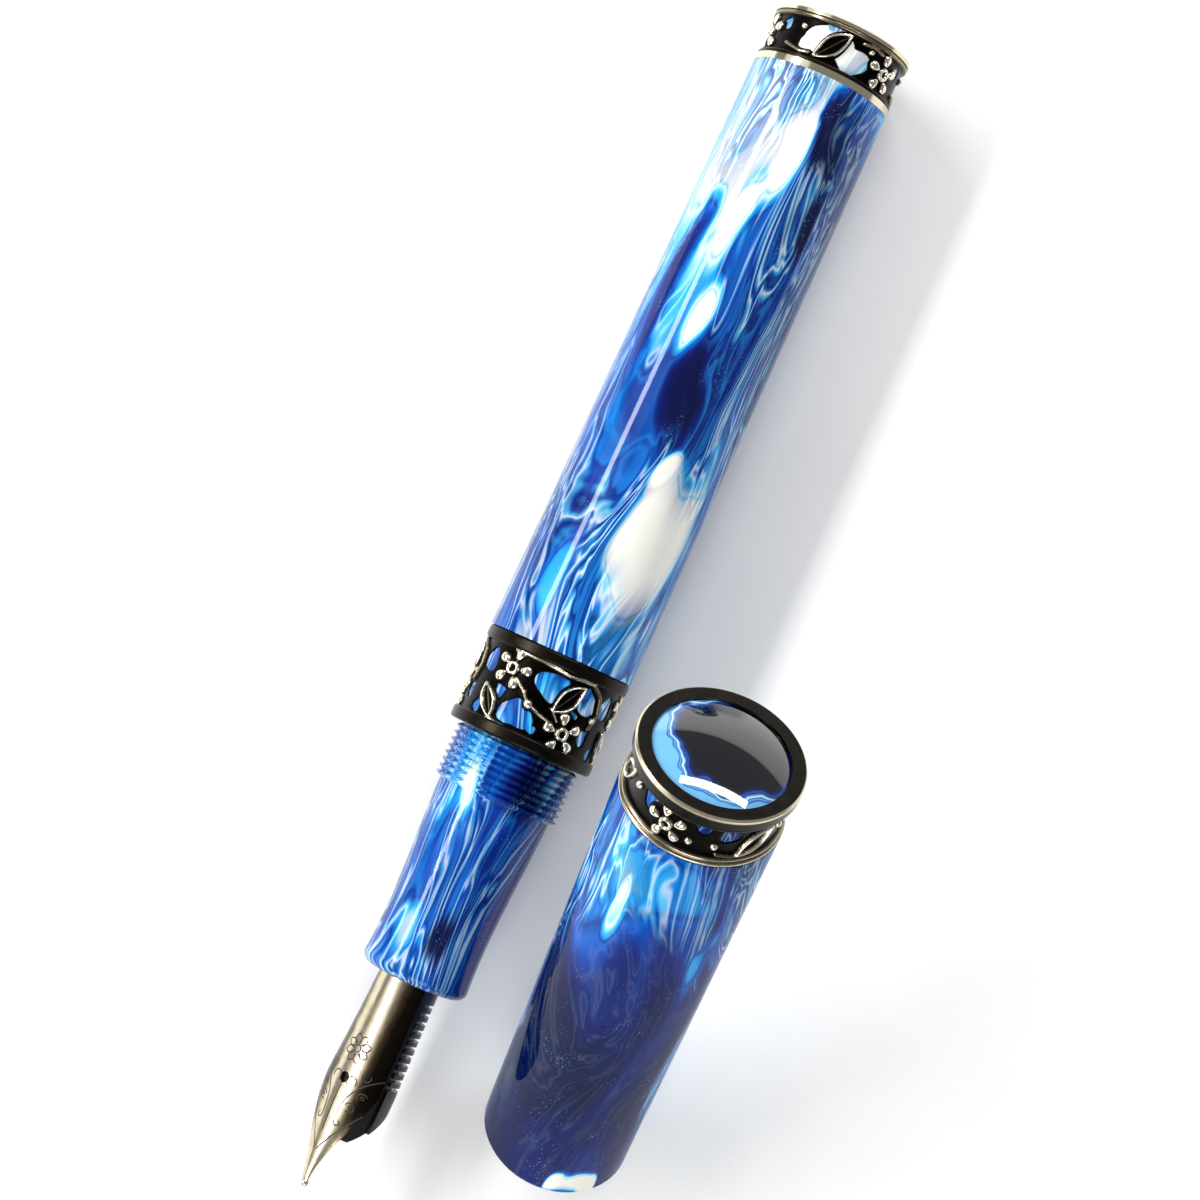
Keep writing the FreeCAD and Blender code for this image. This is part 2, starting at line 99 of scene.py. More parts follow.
def marbled_resin(name, lay, pours, shift, depth=0.0, still=0.95, gloss=1.0):
    """Cast resin folded in long streaks along the piece, with a pour of one colour at each place given.

    A pour is (x, angle, radius, length, width, strength), in mm and in degrees from the top towards -y,
    positive for white and negative for navy. Shift picks a stretch of the pattern, depth darkens it all,
    still is how near the middle of a strong pour the threads die out, and gloss is the coat's weight."""
    material, tree, shader = new_finish(name, {
        "Roughness": 0.10, "IOR": 1.54, "Specular IOR Level": 0.0, "Coat Weight": gloss,
        "Coat Roughness": 0.03, "Coat IOR": 1.38})
    local = along_piece(tree, lay)
    # the pour is drawn out along the bar, so everything is over three times as long as it is wide
    drawn = add(tree, "Mapping", {"Vector": local, "Location": shift, "Scale": (0.30, 1.0, 1.0)})
    flow, pushes = drawn.outputs[0], []
    for size, reach, folds in ((0.055, 24.0, 1.0), (0.15, 7.0, 1.0), (0.42, 1.3, 1.5)):
        curl = add(tree, "TexNoise", {"Vector": flow, "Scale": size, "Detail": folds, "Roughness": 0.5})
        centred = add(tree, "VectorMath", {0: curl.outputs["Color"], 1: NOISE_MIDDLE}, operation="SUBTRACT")
        push = add(tree, "VectorMath", {0: centred.outputs[0], "Scale": reach}, operation="SCALE").outputs[0]
        flow = add(tree, "VectorMath", {0: flow, 1: push}, operation="ADD").outputs[0]
        pushes.append(push)
    field = add(tree, "TexNoise", {"Vector": flow, "Scale": 0.068, "Detail": 2.0, "Roughness": 0.5})
    field = add(tree, "MapRange", {"Value": field.outputs["Fac"], "From Min": 0.29, "From Max": 0.71,
                                   "To Min": -depth, "To Max": 1.0 - depth}, clamp=False).outputs[0]
    # the two finer folds ruffle the edges of the pours as well
    bend = add(tree, "VectorMath", {0: pushes[1], 1: pushes[2]}, operation="ADD").outputs[0]
    wavy = add(tree, "VectorMath", {0: local, 1: bend}, operation="ADD").outputs[0]
    calm = None
    for x, angle, radius, length, width, strength in pours:
        a = math.radians(angle)
        centre = (x, -radius * math.sin(a), radius * math.cos(a))
        apart = add(tree, "VectorMath", {0: wavy, 1: centre}, operation="SUBTRACT").outputs[0]
        scaled = add(tree, "VectorMath", {0: apart, 1: (1 / length, 1 / width, 1 / width)},
                     operation="MULTIPLY").outputs[0]
        far = add(tree, "VectorMath", {0: scaled}, operation="LENGTH").outputs["Value"]
        near = add(tree, "MapRange", {"Value": far, "From Min": 0.45, "From Max": 1.25, "To Min": 1.0,
                                      "To Max": 0.0}, interpolation_type="SMOOTHSTEP").outputs[0]
        field = add(tree, "Math", {0: near, 1: strength, 2: field}, operation="MULTIPLY_ADD").outputs[0]
        if 0 < strength < FAINT_POUR:
            continue
        calm = near if calm is None else add(tree, "Math", {0: calm, 1: near}, operation="MAXIMUM").outputs[0]
    pour = add(tree, "ValToRGB", {"Fac": field}, stops=[
        (0.00, "#040a38"), (0.22, "#06125a"), (0.34, "#0a2272"), (0.42, "#0c3c9c"), (0.48, "#0f5cbc"),
        (0.53, "#0a3a90"), (0.58, "#1286dc"), (0.66, "#2cb2f2"), (0.72, "#82dcf6"), (0.78, "#e6f8f8"),
        (0.82, "#86d4f2"), (0.88, "#f6f6ee"), (1.0, "#faf8ee")])
    # pigment threads that were pulled out along the flow and folded over on themselves
    pulled = add(tree, "VectorMath", {0: flow, 1: (0.20, 1.0, 1.0)}, operation="MULTIPLY").outputs[0]
    thread = add(tree, "TexNoise", {"Vector": pulled, "Scale": 0.30, "Detail": 3.5, "Roughness": 0.52})
    threads = add(tree, "ValToRGB", {"Fac": thread.outputs["Fac"]}, stops=[
        (0.28, "#03072a"), (0.38, "#08247c"), (0.42, "#1c7ed0"), (0.435, "#061656"), (0.455, "#0c46a4"),
        (0.475, "#5ccef4"), (0.487, "#f4fcfa"), (0.498, "#1884dc"), (0.52, "#05124e"), (0.54, "#1058b4"),
        (0.56, "#44c2f2"), (0.575, "#fafcf6"), (0.59, "#28a4ec"), (0.61, "#082c84"), (0.64, "#1a78cc"),
        (0.68, "#aee4f4"), (0.74, "#fafaf0")])
    stir = add(tree, "TexNoise", {"Vector": flow, "Scale": 0.06, "Detail": 1.0})
    amount = add(tree, "MapRange", {"Value": stir.outputs["Fac"], "From Min": 0.38, "From Max": 0.62,
                                    "To Min": 0.32, "To Max": 0.95}).outputs[0]
    calmed = add(tree, "MapRange", {"Value": calm, "From Min": 0.2 * still, "From Max": still, "To Min": 1.0,
                                    "To Max": 0.04}).outputs[0]
    amount = add(tree, "Math", {0: amount, 1: calmed}, operation="MULTIPLY").outputs[0]
    streaked = add(tree, "Mix", {"Factor": amount, MIX_FIRST: pour.outputs[0],
                                 MIX_SECOND: threads.outputs[0]}, data_type="RGBA").outputs[MIX_RESULT]
    # mica in the blue pigment: flakes of about 0.1 mm that only show where the resin is dark
    flake = add(tree, "TexVoronoi", {"Vector": local, "Scale": 3.4}, feature="F1")
    spark = add(tree, "MapRange", {"Value": flake.outputs["Distance"], "From Min": 0.10, "From Max": 0.22,
                                   "To Min": 0.75, "To Max": 0.0}).outputs[0]
    cluster = add(tree, "TexNoise", {"Vector": local, "Scale": 0.35, "Detail": 1.0})
    gathered = add(tree, "MapRange", {"Value": cluster.outputs["Fac"], "From Min": 0.52,
                                      "From Max": 0.66}).outputs[0]
    dark = add(tree, "MapRange", {"Value": field, "From Min": 0.45, "From Max": 0.25}).outputs[0]
    where_dark = add(tree, "Math", {0: gathered, 1: dark}, operation="MULTIPLY").outputs[0]
    sparkle = add(tree, "Math", {0: spark, 1: where_dark}, operation="MULTIPLY").outputs[0]
    colour = add(tree, "Mix", {"Factor": sparkle, MIX_FIRST: streaked, MIX_SECOND: linear("#7fb4f0")},
                 data_type="RGBA").outputs[MIX_RESULT]
    tree.links.new(colour, shader.inputs["Base Color"])
    return material


def dress(node, material):
    """Give a carried piece one finish all over."""
    mesh = parts[node].data
    mesh.materials.clear()
    mesh.materials.append(material)


BARREL_POURS = (
    (36.5, 31, 7.2, 8.2, 3.2, 0.75), (43.0, 20, 7.2, 3.0, 1.6, 0.55), (58.5, 4, 7.2, 5.0, 1.5, 0.55),
    (52.0, 14, 7.2, 7.0, 2.0, -0.45), (68.0, -8, 7.2, 6.5, 1.3, 0.35), (62.0, -42, 7.2, 11.0, 1.6, -0.45),
    (79.5, 34, 7.1, 5.0, 2.2, -0.55), (76.5, 4, 7.1, 6.0, 2.3, 0.40), (30.0, -22, 7.3, 6.0, 1.5, 0.35),
    (70.0, 40, 7.1, 5.0, 1.6, -0.4), (87.5, 0, 6.6, 2.4, 4.5, 0.34), (18.0, 6, 6.8, 4.0, 4.5, 0.16),
)
barrel_resin = marbled_resin("marbled_resin_barrel", PEN_LAY, BARREL_POURS,
                             shift=(3.0, 41.0, 17.0), depth=-0.05)
dress("barrel", barrel_resin)

# ==== Barrel bush ============================================================================
# A turned brass insert glued into the barrel, that takes the thread of the section. Never seen
# with the pen together.


def turned_metal(name, colour, roughness, groove):
    """Metal from the lathe: fine rings along the axis, groove apart in mm, that draw the light out."""
    material, tree, shader = new_finish(name, {"Base Color": linear(colour), "Metallic": 1.0})
    where = add(tree, "TexCoord")
    steady = 25 * MM                # a ring hardly changes over this, so it runs all the way round
    drawn = add(tree, "Mapping", {"Vector": where.outputs["Object"],
                                  "Scale": (1 / (groove * MM), 1 / steady, 1 / steady)})
    rings = add(tree, "TexNoise", {"Vector": drawn.outputs[0], "Scale": 1.0, "Detail": 2.0})
    rough = add(tree, "MapRange", {"Value": rings.outputs["Fac"], "From Min": 0.3, "From Max": 0.7,
                                   "To Min": roughness * 0.7, "To Max": roughness * 1.3})
    bump = add(tree, "Bump", {"Height": rings.outputs["Fac"], "Strength": 0.15, "Distance": 0.02 * MM})
    tree.links.new(rough.outputs[0], shader.inputs["Roughness"])
    tree.links.new(bump.outputs[0], shader.inputs["Normal"])
    return material


bush_brass = turned_metal("turned_brass", "#c9a45c", roughness=0.28, groove=0.2)
dress("barrel_bush", bush_brass)

# ==== Centre band ============================================================================
# A cast openwork ring with five-petalled flowers, leaves and a beaded stem between plain rims,
# blackened and then rubbed back so that only what stands proud shines. The resin shows through.

CAMERA_LEAN = 4.3               # the motif starts this far from the top, towards the cap, degrees
MOTIFS = 3                      # the pattern repeats three times round
STEPS_ROUND = 660               # of the grid round a band
STEP_ALONG = 0.07               # of the grid along it, mm
OPENING = -0.25                 # where nothing is laid, the casting lies this far under its seat, mm
FOOT = 0.12                     # petals, beads and stems stand at this height in the black ground, mm
FAR_OFF = 9.0                   # farther than any window or stem reaches, mm


class Relief:
    """Height of the openwork over its seat, and how far it is rubbed bright, on a grid round the band.

    Start and length are the band's along the piece, seat is the radius it stands on and waist the one
    that the motif is measured at, in mm. Start_angle turns the motif, in degrees."""

    def __init__(self, start, length, seat, waist, start_angle):
        self.start, self.length, self.seat = start, length, seat
        self.angles = np.linspace(0, 2 * math.pi, STEPS_ROUND, endpoint=False)
        self.x = np.linspace(0, length, int(length / STEP_ALONG) + 1)
        period = 2 * math.pi / MOTIFS
        turned_by = (self.angles - math.radians(start_angle) + period / 2) % period - period / 2
        self.period = period * waist
        self.u, self.v = np.meshgrid(turned_by * waist, self.x - length / 2, indexing="ij")
        self.height = np.full(self.u.shape, OPENING)
        self.bright = np.zeros(self.u.shape)

    def near(self, at):
        """Offsets from a place in the motif, the short way round."""
        across = (self.u - at[0] + self.period / 2) % self.period - self.period / 2
        return across, self.v - at[1]

    def lay(self, height, bright):
        """Lay something on, where it stands higher than what is there."""
        higher = height > self.height
        self.height = np.where(higher, height, self.height)
        self.bright = np.where(higher, bright, self.bright)

    def dome(self, far, foot, rise, gloss):
        """A rounded top where far is below 1, standing on foot, bright on its crown only."""
        crown = np.sqrt(np.clip(1 - far * far, 0, 1))
        self.lay(np.where(far < 1, foot + rise * crown, -1), gloss * np.clip((crown - 0.25) / 0.3, 0, 1))

    def plate(self, inside, level=0.13):
        """Flat black ground where inside, in mm from its edge, is positive."""
        self.lay(np.where(inside > 0, level * np.clip(inside / 0.08, 0.2, 1), -1), 0.0)

    def ground(self, windows, level=0.11):
        """Black ground all round, but for windows (across, along, half across, half along) in mm."""
        solid = np.full(self.u.shape, FAR_OFF)
        for u, v, half_u, half_v in windows:
            across, along = self.near((u, v))
            uneven = 1 + 0.13 * np.cos(3 * np.arctan2(along, across) + u)
            outside = np.hypot(across / half_u, along / half_v) * uneven - 1
            solid = np.minimum(solid, outside * min(half_u, half_v))
        self.plate(solid, level)

    def flower(self, at, turn=0.0, size=1.0):
        """Five petals round a ringed eye, on a fluted ground."""
        across, along = self.near(at)
        far, angle = np.hypot(across, along), np.arctan2(along, across)
        self.plate((2.2 + 0.2 * np.cos(5 * (angle - turn))) * size - far)
        for k in range(5):
            a = turn + k * 2 * math.pi / 5
            out = across * math.cos(a) + along * math.sin(a) - 1.42 * size
            side = -across * math.sin(a) + along * math.cos(a)
            wide = 0.50 + 0.2 * np.clip(out / (0.6 * size), -1, 1)
            self.dome(np.hypot(out / (0.68 * size), side / (wide * size)), FOOT, 0.46, 1.0)
        self.dome(np.abs(far - 0.50 * size) / (0.21 * size), 0.22, 0.36, 1.0)

    def bead(self, at, size):
        """A round bead, in a ground a little wider."""
        across, along = self.near(at)
        far = np.hypot(across, along)
        self.plate(size + 0.2 - far)
        self.dome(far / size, FOOT, 0.44, 1.0)

    def leaf(self, at, turn, length, width):
        """A leaf with a raised edge and a fine middle rib, curved a little, turned in degrees."""
        across, along = self.near(at)
        a = math.radians(turn)
        down = across * math.cos(a) + along * math.sin(a)
        over = -across * math.sin(a) + along * math.cos(a)
        over = over - 0.1 * width * np.sin(np.pi * down / length)
        half = width / 2 * np.clip(1 - np.abs(2 * down / length) ** 1.9, 0, 1)
        inside = half - np.abs(over)
        self.plate(np.where(np.abs(down) < length / 2 + 0.1, inside + 0.26, -1))
        self.dome(np.where(half > 0.1, np.abs(inside - 0.15) / 0.16, 2), 0.16, 0.40, 0.95)
        self.dome(np.where(half > 0.3, np.abs(over) / 0.09, 2), 0.14, 0.12, 0.35)

    def stem(self, points, size=0.2, gloss=0.6):
        """A round wire through the points, in a ground a little wider."""
        far = np.full(self.u.shape, FAR_OFF)
        for (au, av), (bu, bv) in zip(points[:-1], points[1:]):
            across, along = self.near((au, av))
            du, dv = bu - au, bv - av
            k = np.clip((across * du + along * dv) / (du * du + dv * dv), 0, 1)
            far = np.minimum(far, np.hypot(across - k * du, along - k * dv))
        self.plate(size + 0.24 - far)
        self.dome(far / size, FOOT, 0.34, gloss)

    def rim(self, low, high, rise, gloss):
        """A plain rounded rim between two places along the band, in mm from its middle."""
        far = np.abs(self.v - (low + high) / 2) / ((high - low) / 2)
        crown = (1 - np.clip(far, 0, 1) ** 4) ** 0.5
        self.lay(np.where(far <= 1.0001, rise * (0.55 + 0.45 * crown), -1), gloss * crown)

    def mesh(self, name, inner, top, place=None):
        """Closed ring mesh: the relief outside, a plain bore inside, never above top."""
        r = np.minimum(self.seat + self.height, top)
        x = np.concatenate([self.x, [self.length, 0.0]]) + self.start
        r = np.concatenate([r, np.full((len(r), 2), inner)], axis=1)
        bright = np.concatenate([self.bright, np.zeros((len(r), 2))], axis=1)
        points = np.stack([np.broadcast_to(x, r.shape), -r * np.sin(self.angles)[:, None],
                           r * np.cos(self.angles)[:, None]], axis=-1)
        return ring_piece(name, points, bright, place)


def ring_piece(name, points, bright, place):
    """A closed piece from a grid of points that closes on itself both ways, in mm."""
    m, n = points.shape[:2]
    i, j = np.meshgrid(np.arange(m), np.arange(n), indexing="ij")
    next_i, next_j = (i + 1) % m, (j + 1) % n
    faces = np.stack([i * n + j, i * n + next_j, next_i * n + next_j, next_i * n + j], axis=-1)
    faces = faces.reshape(-1, 4).tolist()
    return solid_piece(name, points.reshape(-1, 3) * MM, faces, bright.reshape(-1), place)


def solid_piece(name, points, faces, bright=None, place=None):
    """A smooth piece from points in metres and faces, turned to face outwards."""
    if place is not None:
        points = points @ np.array(place.to_3x3()).T + np.array(place.translation)
    mesh = bpy.data.meshes.new(name)
    mesh.from_pydata(points.tolist(), [], faces)
    if bright is not None:
        mesh.attributes.new("bright", "FLOAT", "POINT").data.foreach_set("value", bright.astype(np.float32))
    shaped = bmesh.new()
    shaped.from_mesh(mesh)
    bmesh.ops.recalc_face_normals(shaped, faces=shaped.faces)
    shaped.to_mesh(mesh)
    shaped.free()
    mesh.polygons.foreach_set("use_smooth", [True] * len(mesh.polygons))
    piece = bpy.data.objects.new(name, mesh)
    bpy.context.scene.collection.objects.link(piece)
    return piece


def fit(piece, body, slot, material, *nodes):
    """Fix a piece to its body in place of the carried nodes."""
    piece.data.materials.append(material)
    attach(piece, body)
    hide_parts(*nodes)


def blackened_casting(name, crest, hollow):
    """Cast pewter-coloured alloy, black in the hollows and rubbed back to pale metal on the crests."""
    material, tree, shader = new_finish(name, {"Metallic": 1.0})
    where = add(tree, "TexCoord")
    rubbed = add(tree, "Attribute", attribute_name="bright")
    grain = add(tree, "TexNoise", {"Vector": where.outputs["Object"], "Scale": 3.0 / MM, "Detail": 3.0})
    uneven = add(tree, "MapRange", {"Value": grain.outputs["Fac"], "From Min": 0.35, "From Max": 0.65,
                                    "To Min": -0.03, "To Max": 0.03}).outputs[0]
    worn = add(tree, "Math", {0: rubbed.outputs["Fac"], 1: uneven}, operation="ADD").outputs[0]
    tone = add(tree, "ValToRGB", {"Fac": worn}, stops=[(0.0, hollow), (0.25, "#2b2620"), (0.55, "#8b7f68"),
                                                       (0.85, crest), (1.0, crest)])
    rough = add(tree, "MapRange", {"Value": worn, "From Min": 0.1, "From Max": 0.8,
                                   "To Min": 0.34, "To Max": 0.16})
    pits = add(tree, "Bump", {"Height": grain.outputs["Fac"], "Strength": 0.15, "Distance": 0.02 * MM})
    tree.links.new(tone.outputs[0], shader.inputs["Base Color"])
    tree.links.new(rough.outputs[0], shader.inputs["Roughness"])
    tree.links.new(pits.outputs[0], shader.inputs["Normal"])
    return material


antique_bronze = blackened_casting("blackened_casting", "#efe8d4", "#0d0b09")

centre = Relief(start=13.9, length=9.8, seat=6.78, waist=7.1, start_angle=CAMERA_LEAN)
centre.ground([(0.6, 1.7, 1.75, 1.35), (-1.8, -2.1, 1.9, 1.25), (-4.3, -0.3, 0.6, 1.05), (4.9, 1.7, 1.1, 1.5),
               (3.4, -0.1, 0.8, 0.45), (-7.2, 1.7, 1.0, 1.1), (-6.5, -2.9, 0.5, 0.6), (6.0, -1.6, 0.55, 0.9),
               (0.3, -2.9, 0.5, 0.35)])
centre.rim(-4.9, -3.6, 0.62, 0.19)
centre.rim(3.6, 4.9, 0.62, 0.19)
centre.stem([(-4.2, 3.5), (-1.5, 3.55), (1.8, 3.3), (4.4, 3.5)], 0.22, 0.75)
centre.flower((-3.84, 1.75), 0.15)
centre.flower((3.35, -2.1), 0.55)
centre.stem([(-3.0, 1.0), (-1.9, 0.2), (-0.93, -0.8), (0.5, -1.3), (1.9, -1.6)])
centre.bead((-0.93, -0.8), 0.48)
centre.bead((-1.75, 0.15), 0.26)
centre.leaf((2.6, 1.2), 50, 4.3, 2.0)
centre.stem([(1.3, -0.3), (1.8, -0.7), (2.3, -1.2)], 0.16)
centre.leaf((-5.0, -2.0), 118, 3.9, 1.7)
centre.stem([(-4.4, -3.4), (-3.2, -3.7), (-1.6, -3.8)], 0.2, 0.9)
centre.stem([(4.6, 3.4), (5.9, 2.5), (6.5, 0.9), (6.0, -0.6)], 0.22, 0.5)
centre.bead((6.0, 0.2), 0.3)
centre_band = centre.mesh("centre_band_openwork", inner=6.62, top=7.4)
fit(centre_band, "barrel", "antique_bronze", antique_bronze, "center_band")

# ==== Tail ring ==============================================================================
# A narrow bright ring of plated brass, pressed against the shoulder of the barrel in front of
# the tail band.


def plated_metal(name, colour, roughness, wear=0.06):
    """Polished plate over brass: a warm pale mirror with faint handling marks."""
    material, tree, shader = new_finish(name, {"Base Color": linear(colour), "Metallic": 1.0})
    where = add(tree, "TexCoord")
    haze = add(tree, "TexNoise", {"Vector": where.outputs["Object"], "Scale": 0.7 / MM, "Detail": 4.0})
    rough = add(tree, "MapRange", {"Value": haze.outputs["Fac"], "From Min": 0.35, "From Max": 0.65,
                                   "To Min": roughness, "To Max": roughness + wear})
    tree.links.new(rough.outputs[0], shader.inputs["Roughness"])
    return material


pale_gold = plated_metal("pale_gold_plate", "#e2d8bd", roughness=0.10)
dress("tail_ring", pale_gold)

# ==== Tail band ==============================================================================
# The same casting, narrower: one leaf between two flowers, over a spigot of the barrel's resin.

tail = Relief(start=85.2, length=4.6, seat=6.56, waist=6.9, start_angle=CAMERA_LEAN)
tail.ground([(-0.9, 0.5, 2.6, 1.5), (1.7, -0.5, 1.9, 1.3), (-3.0, -0.6, 1.2, 0.8), (-6.6, 0.9, 0.6, 0.5)])
tail.rim(-2.3, -1.85, 0.5, 0.19)
tail.rim(1.85, 2.3, 0.5, 0.55)
tail.flower((5.6, -0.1), 0.4, 0.95)
tail.leaf((-0.6, 0.0), 44, 4.6, 2.0)
tail.stem([(2.2, 1.5), (3.4, 1.7), (4.6, 1.5)], 0.2, 0.6)
tail.bead((3.3, 1.1), 0.3)
tail.bead((-4.1, 0.9), 0.34)
tail.stem([(-2.6, -1.5), (-3.6, -1.6), (-5.4, -1.1)], 0.2, 0.6)
tail_band = tail.mesh("tail_band_openwork", inner=6.42, top=7.08)
fit(tail_band, "barrel", "antique_bronze", antique_bronze, "tail_band")

# ==== Tail bezel and cabochon ================================================================
# A pale plated cup screwed to the end of the barrel by a steel stud, with a domed drop of dark
# resin cast in it: near black in the middle, with the blue and white pour showing at its edge.

DROP_SIDES, DOME_RINGS = 96, 24
EDGE_RING = 0.04                # a ring this far below the dome keeps the drop's edge crisp, mm
TAIL_STONE = 5.72               # radius of the drop in the tail, mm


def cabochon_resin(name, lay, radius):
    """Domed resin drop, glass smooth: black-blue, with the pale pour as a crescent towards one edge."""
    material, tree, shader = new_finish(name, {"Roughness": 0.05, "IOR": 1.54, "Coat Weight": 1.0,
                                               "Coat Roughness": 0.0})
    local = along_piece(tree, lay)
    curl = add(tree, "TexNoise", {"Vector": local, "Scale": 0.32, "Detail": 1.5})
    centred = add(tree, "VectorMath", {0: curl.outputs["Color"], 1: NOISE_MIDDLE}, operation="SUBTRACT")
    push = add(tree, "VectorMath", {0: centred.outputs[0], "Scale": 3.2}, operation="SCALE")
    wavy = add(tree, "VectorMath", {0: local, 1: push.outputs[0]}, operation="ADD").outputs[0]
    flat = add(tree, "VectorMath", {0: wavy, 1: (0, 1, 1)}, operation="MULTIPLY").outputs[0]
    far = add(tree, "VectorMath", {0: flat}, operation="LENGTH").outputs["Value"]
    out = add(tree, "Math", {0: far, 1: radius}, operation="DIVIDE").outputs[0]
    lean = (0, 0.16 / radius, 0.20 / radius)    # the crescent lies on this side
    towards = add(tree, "VectorMath", {0: flat, 1: lean}, operation="DOT_PRODUCT")
    level = add(tree, "Math", {0: out, 1: towards.outputs["Value"]}, operation="ADD").outputs[0]
    tone = add(tree, "ValToRGB", {"Fac": level}, stops=[
        (0.0, "#03050a"), (0.76, "#050814"), (0.83, "#0a1450"), (0.86, "#1c54b4"), (0.88, "#0a1858"),
        (0.91, "#4fa6e4"), (0.93, "#e8f3f6"), (0.945, "#1c54b4"), (0.965, "#5cb0ea"), (0.98, "#123a96"),
        (1.0, "#6fb8ea")])
    tree.links.new(tone.outputs[0], shader.inputs["Base Color"])
    return material


def domed_drop(name, base, side, radius, rise, place=None):
    """A round drop with a flat base, a short straight side and a shallow dome, turned about the axis, in mm.

    Base and side are where it and its dome begin, along the axis."""
    n = DROP_SIDES
    bulge = (radius * radius + rise * rise) / (2 * rise)
    out = radius * np.cos(np.linspace(0, math.pi / 2, DOME_RINGS + 1))[:-1]
    rings = [(base, radius), (side - EDGE_RING, radius)]
    rings += [(side + rise - bulge + math.sqrt(bulge * bulge - r * r), r) for r in out]
    turns = np.linspace(0, 2 * math.pi, n, endpoint=False)
    points = [(x, -r * math.sin(t), r * math.cos(t)) for x, r in rings for t in turns]
    points += [(base, 0, 0), (side + rise, 0, 0)]
    low, top, last = len(points) - 2, len(points) - 1, n * (len(rings) - 1)
    faces = [(i + j, i + (j + 1) % n, i + n + (j + 1) % n, i + n + j)
             for i in range(0, last, n) for j in range(n)]
    faces += [(low, (j + 1) % n, j) for j in range(n)]
    faces += [(top, last + j, last + (j + 1) % n) for j in range(n)]
    return solid_piece(name, np.array(points) * MM, faces, place=place)


dress("tail_bezel", pale_gold)
tail_stone = domed_drop("tail_cabochon_drop", base=89.72, side=90.1, radius=TAIL_STONE, rise=0.7)
tail_stone_resin = cabochon_resin("tail_cabochon_resin", PEN_LAY, TAIL_STONE)
fit(tail_stone, "barrel", "dark_cabochon", tail_stone_resin, "tail_cabochon")
stud_steel = turned_metal("turned_steel", "#9a9ca0", roughness=0.3, groove=0.25)
dress("tail_stud", stud_steel)

# ==== Section ================================================================================
# The grip, turned from the same rod as the barrel, waisted for the fingers, with three-start
# threads cut in the resin for the cap in front of the centre band and for the barrel behind it.

SECTION_POURS = (
    (-6.0, 12, 5.4, 3.0, 1.9, -0.45), (0.5, 14, 5.3, 5.0, 1.2, 0.2), (-5.5, -38, 5.4, 3.5, 1.5, 0.25),
    (8.0, -20, 6.0, 4.0, 1.5, 0.3), (10.5, 32, 6.3, 3.5, 1.8, -0.45),
)
section_resin = marbled_resin("marbled_resin_section", PEN_LAY, SECTION_POURS,
                              shift=(14.0, -9.0, 26.0), depth=0.08)
dress("section", section_resin)

# ==== Section seal ===========================================================================
# A soft ring between the section's shoulder and the barrel.


def moulded_black(name, colour, roughness, grain):
    """Moulded polymer or rubber: near black, with a faint grain, in mm, that breaks the shine."""
    material, tree, shader = new_finish(name, {"Base Color": linear(colour), "IOR": 1.5})
    where = add(tree, "TexCoord")
    skin = add(tree, "TexNoise", {"Vector": where.outputs["Object"], "Scale": 1 / grain / MM, "Detail": 3.0})
    rough = add(tree, "MapRange", {"Value": skin.outputs["Fac"], "From Min": 0.35, "From Max": 0.65,
                                   "To Min": roughness * 0.85, "To Max": roughness * 1.15})
    bump = add(tree, "Bump", {"Height": skin.outputs["Fac"], "Strength": 0.2, "Distance": 0.02 * MM})
    tree.links.new(rough.outputs[0], shader.inputs["Roughness"])
    tree.links.new(bump.outputs[0], shader.inputs["Normal"])
    return material


seal_rubber = moulded_black("soft_rubber", "#1c1c1c", roughness=0.7, grain=0.3)
dress("section_seal", seal_rubber)

# ==== Nib housing, feed ======================================================================
# Injection-moulded ABS: the housing screws into the section, and the feed is pushed into it
# with the nib on top. The feed's fins hold back ink.

housing_abs = moulded_black("housing_abs", "#101012", roughness=0.25, grain=0.4)
feed_abs = moulded_black("feed_abs", "#0e0d0d", roughness=0.32, grain=0.25)
dress("nib_housing", housing_abs)
dress("feed", feed_abs)

# ==== Nib and tipping ========================================================================
# Stamped stainless steel, rolled to a curve, slit, engraved with scrolls and polished, with a
# ball of hard alloy welded to the point and split with the tines.

FACE_X = -11.0                      # front face of the section along the pen, mm
NIB_ROLL = math.radians(-33.0)      # the nib is turned this far round the pen's axis
NIB_LAY = ((FACE_X * MM, 0, 0), (NIB_ROLL, 0, 0))


def engraved_steel(name):
    """Polished steel with a warm cast, pale on its back, painted near black at both edges as a dark
    reflection.
    """
    material, tree, shader = new_finish(name, {"Metallic": 1.0})
    local = along_piece(tree, NIB_LAY)
    haze = add(tree, "TexNoise", {"Vector": local, "Scale": 0.9, "Detail": 4.0})
    rough = add(tree, "MapRange", {"Value": haze.outputs["Fac"], "From Min": 0.35, "From Max": 0.65,
                                   "To Min": 0.18, "To Max": 0.26})
    sideways = add(tree, "SeparateXYZ", {0: local}).outputs["Y"]
    across = add(tree, "Math", {0: sideways}, operation="ABSOLUTE")
    # painted reflection: the colour darkens to near black towards both edges of the nib, in place of dark
    # surroundings mirrored there
    edge = add(tree, "MapRange", {"Value": across.outputs[0], "From Min": 1.3, "From Max": 3.6})
    haze_and_dark_reflection = add(tree, "Math", {0: haze.outputs["Fac"], 1: 0.22, 2: edge.outputs[0]}, operation="MULTIPLY_ADD")
    tone = add(tree, "ValToRGB", {"Fac": haze_and_dark_reflection.outputs[0]}, stops=[
        (0.10, "#d6cbb2"), (0.22, "#b9aa8c"), (0.38, "#6a5a44"), (0.58, "#2c251d"), (1.0, "#1b1713")])
    tree.links.new(tone.outputs[0], shader.inputs["Base Color"])
    tree.links.new(rough.outputs[0], shader.inputs["Roughness"])
    return material


nib_steel = engraved_steel("engraved_nib_steel")
dress("nib", nib_steel)
dress("nib_tipping", plated_metal("tipping_alloy", "#d8d6d2", roughness=0.12))

